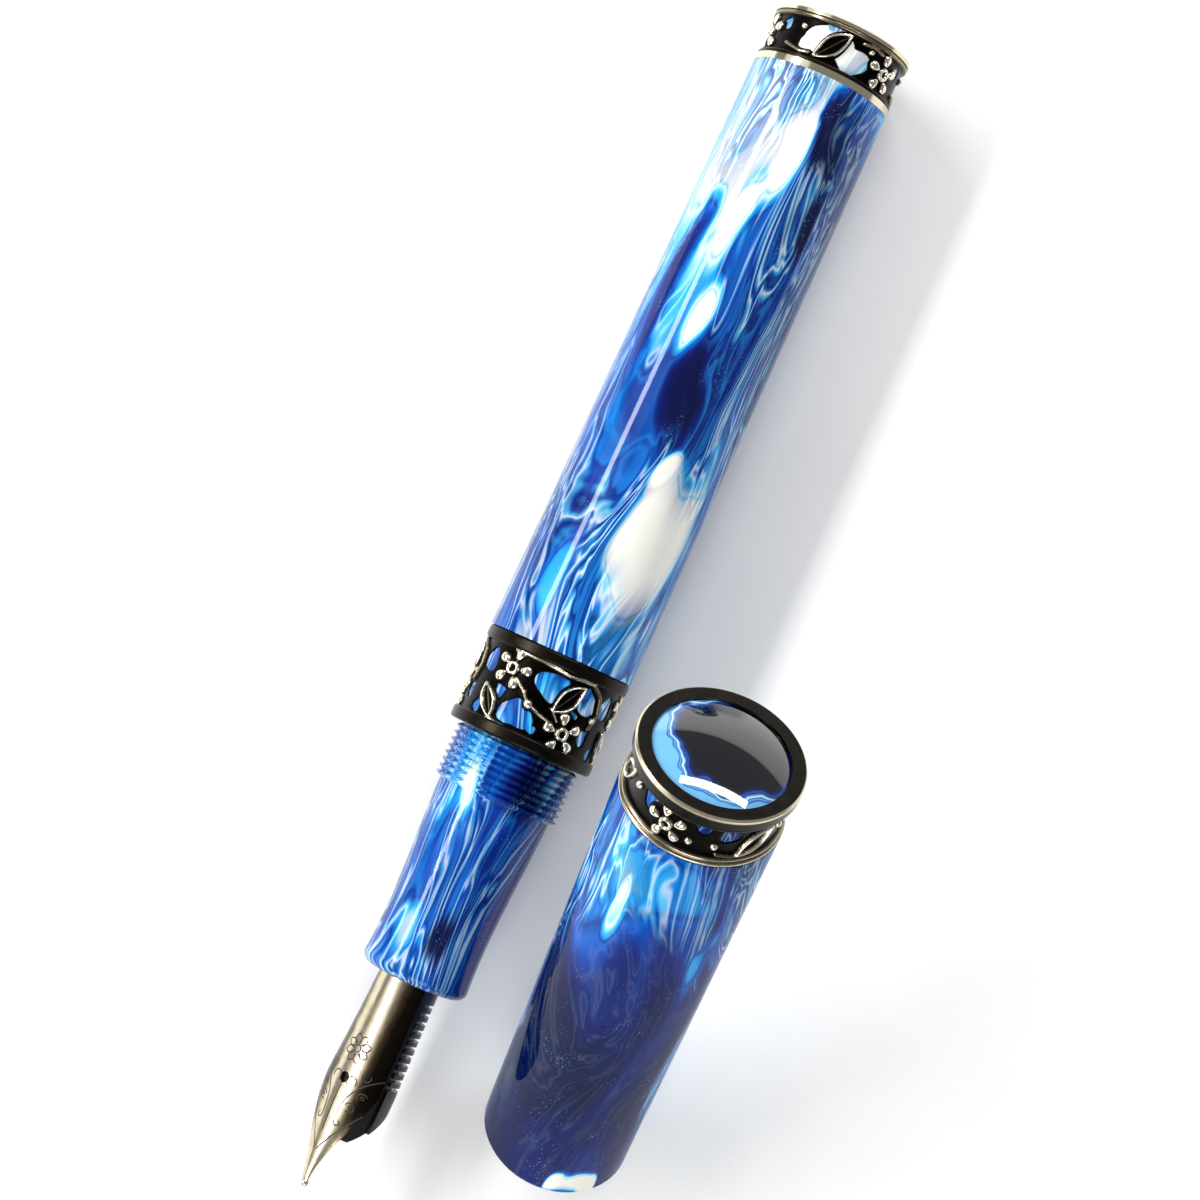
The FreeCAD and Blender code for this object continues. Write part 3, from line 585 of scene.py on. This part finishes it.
# ==== Nib engraving ==========================================================================
# Scrolls that follow the nib's outline and a rosette on its body, cut a few hundredths deep and
# filled with black lacquer, that lies flush in the cut and a hair proud of it at its middle.

NIB_TURN = Matrix.Rotation(NIB_ROLL, 3, "X")
ABOVE_NIB = 12.0                # lines are dropped on the nib from this height, mm
LINE_HALF, LINE_PROUD = 0.075, 0.02     # half a line's width and its height over the steel, mm
LINE_STEP, ARC_STEP = 0.1, 6    # step along a line, mm, and along an arc of 1 mm radius, degrees
LINE_END = 0.35                 # a line narrows to this much of its width at both ends
LINE_SHAPE = ((-1, -0.4), (-0.8, 0.5), (0, 1), (0.8, 0.5), (1, -0.4), (0, -2))  # round one cross-section
ROSETTE, PETALS = 7.8, 8        # the rosette's middle, out from the section's face, mm, and its petals


def ring_line(s, w, radius, start=0, end=360):
    """Places (out from the section's face, across) along an arc, in mm and degrees."""
    turns = np.radians(np.linspace(start, end, max(8, int(abs(end - start) * radius / ARC_STEP))))
    return [(s + radius * math.cos(t), w + radius * math.sin(t)) for t in turns]


def eased_line(places):
    """A smooth line through the places given."""
    spots = [Vector(p) for p in [places[0]] + places + [places[-1]]]
    line = []
    for a, b, c, d in zip(spots, spots[1:], spots[2:], spots[3:]):
        steps = max(2, int((c - b).length / LINE_STEP))
        for k in range(steps):
            t = k / steps
            line.append(tuple(0.5 * (2 * b + (c - a) * t + (2 * a - 5 * b + 4 * c - d) * t * t
                                     + (3 * b - a - 3 * c + d) * t ** 3)))
    return line + [places[-1]]


def scrollwork():
    """Every line of the engraving: the scrolls of one half, their mirror image, and the rosette."""
    half = [eased_line([(18.2, 0.12), (16.6, 1.0), (14.9, 2.1), (13.3, 3.1), (12.5, 3.5)]),
            eased_line([(9.6, 3.5), (10.2, 2.8), (11.2, 1.9), (12.6, 1.1), (14.2, 0.8), (15.1, 0.85),
                        (15.3, 1.2), (15.0, 1.4), (14.75, 1.2)]),
            ring_line(10.9, 0.95, 0.52, 60, 330), ring_line(9.9, 2.1, 0.42, -150, 130),
            ring_line(13.2, 1.75, 0.45, -40, 260), ring_line(11.9, 2.5, 0.45, 120, 330),
            ring_line(11.9, 2.5, 0.16), ring_line(13.2, 1.75, 0.12)]
    lines = half + [[(s, -w) for s, w in line] for line in half]
    lines.append(ring_line(ROSETTE, 0, 0.38))
    petal = [(0.5, -0.1), (1.0, -0.38), (1.45, 0.0), (1.0, 0.38), (0.5, 0.1)]
    for k in range(PETALS):
        a = math.radians(360 / PETALS * (k + 0.5))
        lines.append(eased_line([(ROSETTE + out * math.cos(a) - side * math.sin(a),
                                  out * math.sin(a) + side * math.cos(a)) for out, side in petal]))
    return lines


def laid_line(line, steel):
    """The points where a line dropped from above meets the steel, each with the normal there.

    Points that would fall together are left out."""
    laid = []
    for s, w in line:
        spot = NIB_TURN @ Vector((FACE_X - s, w, ABOVE_NIB)) * MM
        hit, normal, _, _ = steel.ray_cast(spot, NIB_TURN @ Vector((0, 0, -1)))
        if hit is not None and (not laid or (hit - laid[-1][0]).length > 0.01 * MM):
            laid.append((hit, normal))
    return laid


def nib_engraving():
    """All the lines as one mesh, each a thin closed bar that follows the nib's top."""
    steel = BVHTree.FromPolygons([v.co for v in parts["nib"].data.vertices],
                                 [p.vertices[:] for p in parts["nib"].data.polygons])
    points, faces, n = [], [], len(LINE_SHAPE)
    for line in scrollwork():
        laid = laid_line(line, steel)
        if len(laid) < 3:
            continue
        first, last = len(points), len(laid) - 1
        for k, (hit, normal) in enumerate(laid):
            along = (laid[min(k + 1, last)][0] - laid[max(k - 1, 0)][0]).normalized()
            across = along.cross(normal).normalized()
            fade = LINE_END if k in (0, last) else 1.0
            for side, lift in LINE_SHAPE:
                points.append(hit + (across * side * LINE_HALF * fade + normal * lift * LINE_PROUD) * MM)
        for k in range(last):
            for j in range(n):
                a, b = first + n * k + j, first + n * k + (j + 1) % n
                faces.append((a, b, b + n, a + n))
        faces.append(tuple(first + j for j in range(n)))
        faces.append(tuple(first + n * last + j for j in range(n)))
    return solid_piece("nib_engraving", np.array([tuple(p) for p in points]), faces)


engraving = nib_engraving()
engraving.data.materials.append(moulded_black("black_lacquer", "#1d1712", roughness=0.4, grain=0.2))
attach(engraving, "section")

# ==== Converter ==============================================================================
# A screw converter: clear polystyrene tube, black mouth pushed on the nipple, a chromed sleeve,
# a knurled black knob, and a rubber piston on its rod.


def clear_moulding(name):
    """Clear moulded polystyrene, faintly cool, that lets the piston show."""
    material, tree, shader = new_finish(name, {"Base Color": linear("#eef3f6"), "IOR": 1.58,
                                               "Transmission Weight": 0.9})
    where = add(tree, "TexCoord")
    skin = add(tree, "TexNoise", {"Vector": where.outputs["Object"], "Scale": 0.3 / MM, "Detail": 2.0})
    rough = add(tree, "MapRange", {"Value": skin.outputs["Fac"], "From Min": 0.35, "From Max": 0.65,
                                   "To Min": 0.03, "To Max": 0.09})
    tree.links.new(rough.outputs[0], shader.inputs["Roughness"])
    return material


knob_plastic = moulded_black("knob_plastic", "#131316", roughness=0.22, grain=0.35)
dress("converter_mouth", knob_plastic)
dress("converter_tube", clear_moulding("clear_polystyrene"))
dress("converter_sleeve", plated_metal("chrome_plate", "#dcdde0", roughness=0.06, wear=0.04))
dress("converter_knob", knob_plastic)
dress("piston_seal", seal_rubber)
dress("piston_rod", knob_plastic)

# ==== Cap ====================================================================================
# Turned from the same resin as the barrel, bored for the section, with a soft seal and a white
# inner cap at the bottom of its bore. It leans beside the pen on the rim of its mouth.

CAP_TILT = math.radians(44.55)      # how steeply the cap rises from the table
CAP_MOUTH = Vector((-18.6, -18.65, -2.32)) * MM     # the middle of the cap's mouth
CAP_LAY = (tuple(CAP_MOUTH), (0, -CAP_TILT, 0))
CAP_PLACE = Matrix.Translation(CAP_MOUTH) @ Matrix.Rotation(-CAP_TILT, 4, "Y")
CAP_POURS = (
    (25.0, 0, 7.3, 17.0, 9.0, -0.34), (6.0, 0, 7.2, 15.0, 9.0, -0.17), (46.0, 6, 7.4, 4.0, 8.0, 0.17),
    (0.8, 30, 7.0, 2.4, 1.3, 0.9), (41.0, -20, 7.4, 5.0, 1.1, 0.3), (38.0, 58, 7.4, 6.0, 1.2, 0.30),
)
cap_resin = marbled_resin("marbled_resin_cap", CAP_LAY, CAP_POURS,
                          shift=(-31.0, 12.0, 5.0), depth=0.12, still=0.4, gloss=0.5)
dress("cap_shell", cap_resin)


def moulded_white(name):
    """White polyethylene, waxy and matt."""
    material, tree, shader = new_finish(name, {"IOR": 1.51, "Roughness": 0.55})
    where = add(tree, "TexCoord")
    cloud = add(tree, "TexNoise", {"Vector": where.outputs["Object"], "Scale": 0.25 / MM, "Detail": 2.0})
    tone = add(tree, "ValToRGB", {"Fac": cloud.outputs["Fac"]}, stops=[(0.3, "#dcdbd4"), (0.7, "#efeee8")])
    tree.links.new(tone.outputs[0], shader.inputs["Base Color"])
    return material


dress("cap_liner", moulded_white("white_polyethylene"))
dress("cap_seal", seal_rubber)

# ==== Cap band ===============================================================================
# The same casting again, over a spigot of the cap's resin, with a fine double rim on the side of
# the cap's mouth.

CAP_LEAN = 0.9                  # the cap's motif starts this far from its top, degrees
cap_relief = Relief(start=49.8, length=5.0, seat=6.80, waist=7.12, start_angle=CAP_LEAN)
cap_relief.ground([(3.8, 0.9, 0.9, 0.8), (-4.3, 0.9, 0.7, 0.9), (1.3, 1.1, 0.6, 0.45)])
cap_relief.rim(-2.5, -2.12, 0.68, 0.75)
cap_relief.rim(-2.1, -1.75, 0.5, 0.7)
cap_relief.rim(1.9, 2.5, 0.62, 0.19)
cap_relief.flower((-2.0, 0.1), 0.5, 0.95)
cap_relief.bead((0.35, -0.5), 0.36)
cap_relief.bead((2.6, -0.4), 0.36)
cap_relief.stem([(3.0, -1.3), (4.4, -1.5), (5.6, -1.1)], 0.18, 0.5)
cap_relief.leaf((6.3, 0.1), 38, 4.4, 1.9)
cap_relief.bead((-6.0, 0.9), 0.4)
cap_band = cap_relief.mesh("cap_band_openwork", inner=6.64, top=7.5, place=CAP_PLACE)
fit(cap_band, "cap", "antique_bronze", antique_bronze, "cap_band")

# ==== Cap bezel and cabochon =================================================================
# A turned cup with a dark flat and a highlight painted on its outer edge, screwed on by a steel stud,
# that holds the larger resin drop.

CAP_STONE = 6.2                 # radius of the drop in the cap, mm


def gunmetal_bezel(name, lay, edge, top):
    """Brass cup plated dark gunmetal on its flat, with a pale highlight painted on the top of its outer edge.

    Edge is the cup's outer radius and top the height of its flat along the cap, in mm."""
    material, tree, shader = new_finish(name, {"Metallic": 1.0})
    local = along_piece(tree, lay)
    flat = add(tree, "VectorMath", {0: local, 1: (0, 1, 1)}, operation="MULTIPLY").outputs[0]
    far = add(tree, "VectorMath", {0: flat}, operation="LENGTH").outputs["Value"]
    brushed = add(tree, "TexNoise", {"Vector": local, "Scale": 0.8, "Detail": 2.0})
    height = add(tree, "SeparateXYZ", {0: local}).outputs["X"]
    # painted highlight: the top of the outer edge is coloured pale plate instead of gunmetal
    side = add(tree, "MapRange", {"Value": far, "From Min": edge - 0.22, "From Max": edge - 0.12}).outputs[0]
    lip = add(tree, "MapRange", {"Value": height, "From Min": top - 0.45, "From Max": top - 0.3}).outputs[0]
    rim = add(tree, "Math", {0: side, 1: lip}, operation="MULTIPLY").outputs[0]
    tone = add(tree, "Mix", {"Factor": rim, MIX_FIRST: linear("#34312d"), MIX_SECOND: linear("#e4d9bb")},
               data_type="RGBA")
    rough = add(tree, "MapRange", {"Value": brushed.outputs["Fac"], "From Min": 0.35, "From Max": 0.65,
                                   "To Min": 0.20, "To Max": 0.27})
    tree.links.new(tone.outputs[MIX_RESULT], shader.inputs["Base Color"])
    tree.links.new(rough.outputs[0], shader.inputs["Roughness"])
    return material


dress("cap_bezel", gunmetal_bezel("gunmetal_bezel", CAP_LAY, edge=7.62, top=56.0))
cap_stone = domed_drop("cap_cabochon_drop", base=54.96, side=55.75, radius=CAP_STONE, rise=1.3,
                       place=CAP_PLACE)
cap_stone_resin = cabochon_resin("cap_cabochon_resin", CAP_LAY, CAP_STONE)
fit(cap_stone, "cap", "dark_cabochon", cap_stone_resin, "cap_cabochon")
dress("cap_stud", stud_steel)

# ==== Table, light and camera ================================================================
# A plain white table, a long narrow strip to one side of the pen with a broad weak bank behind it,
# and a fill beyond each end, so that the rounds of the pen mirror one clear streak.

TABLE_Z, TABLE_HALF = -7.45, 600.0  # the table's height under the pen's axis and half its width, mm
ROOM_LIGHT = 0.26                   # strength of the even light from all round
LENS_LENGTH, SENSOR = 89.6, 36.0    # mm


def table_top():
    """A wide pale sheet with a slight paper tooth."""
    corners = [(x * TABLE_HALF * MM, y * TABLE_HALF * MM, TABLE_Z * MM)
               for x, y in ((-1, -1), (1, -1), (1, 1), (-1, 1))]
    mesh = bpy.data.meshes.new("table")
    mesh.from_pydata(corners, [], [(0, 1, 2, 3)])
    table = bpy.data.objects.new("table", mesh)
    bpy.context.scene.collection.objects.link(table)
    material, tree, shader = new_finish("white_paper", {"Roughness": 0.75})
    where = add(tree, "TexCoord")
    tooth = add(tree, "TexNoise", {"Vector": where.outputs["Object"], "Scale": 0.15 / MM, "Detail": 2.0})
    tone = add(tree, "ValToRGB", {"Fac": tooth.outputs["Fac"]}, stops=[(0.3, "#f6f6f5"), (0.7, "#f8f8f7")])
    tree.links.new(tone.outputs[0], shader.inputs["Base Color"])
    mesh.materials.append(material)


table_top()


def soft_light(name, at, to, size, power):
    """A rectangular soft light at a place, in mm, facing another, with its power in watts."""
    data = bpy.data.lights.new(name, "AREA")
    data.shape, data.size, data.size_y = "RECTANGLE", size[0] * MM, size[1] * MM
    data.energy = power
    light = bpy.data.objects.new(name, data)
    bpy.context.scene.collection.objects.link(light)
    at, to = Vector(at) * MM, Vector(to) * MM
    back = (at - to).normalized()
    along = (Vector((1, 0, 0)) - back * back.x).normalized()
    side = back.cross(along)
    light.matrix_world = Matrix.Translation(at) @ Matrix((along, side, back)).transposed().to_4x4()


soft_light("strip", at=(35, 270, 245), to=(30, 0, 0), size=(560, 48), power=1.45)
soft_light("left_bank", at=(30, 357, 321), to=(25, -5, 0), size=(560, 380), power=0.45)
soft_light("tail_fill", at=(520, -60, 380), to=(25, 0, 0), size=(60, 460), power=2.0)
soft_light("nib_fill", at=(-450, -120, 380), to=(25, 0, 0), size=(400, 400), power=1.8)

world = bpy.data.worlds.new("room")
world.use_nodes = True
background = world.node_tree.nodes["Background"]
background.inputs["Color"].default_value = linear("#ffffff")
background.inputs["Strength"].default_value = ROOM_LIGHT
bpy.context.scene.world = world

CAMERA_AT, CAMERA_TO = Vector((19.65, -21.45, 290.0)) * MM, Vector((30.1, -1.25, 0.0)) * MM
PEN_SLANT = math.radians(24.573)    # the pen's axis leans this far right of upright in the view
forward = (CAMERA_TO - CAMERA_AT).normalized()
pen_up = (Vector((1, 0, 0)) - forward * forward.x).normalized()
pen_side = forward.cross(pen_up)
up = pen_up * math.cos(PEN_SLANT) - pen_side * math.sin(PEN_SLANT)
right = forward.cross(up)
lens = bpy.data.cameras.new("camera")
lens.lens, lens.sensor_width, lens.clip_start = LENS_LENGTH, SENSOR, 0.01
camera = bpy.data.objects.new("camera", lens)
bpy.context.scene.collection.objects.link(camera)
camera.matrix_world = Matrix.Translation(CAMERA_AT) @ Matrix((right, up, -forward)).transposed().to_4x4()
bpy.context.scene.camera = camera
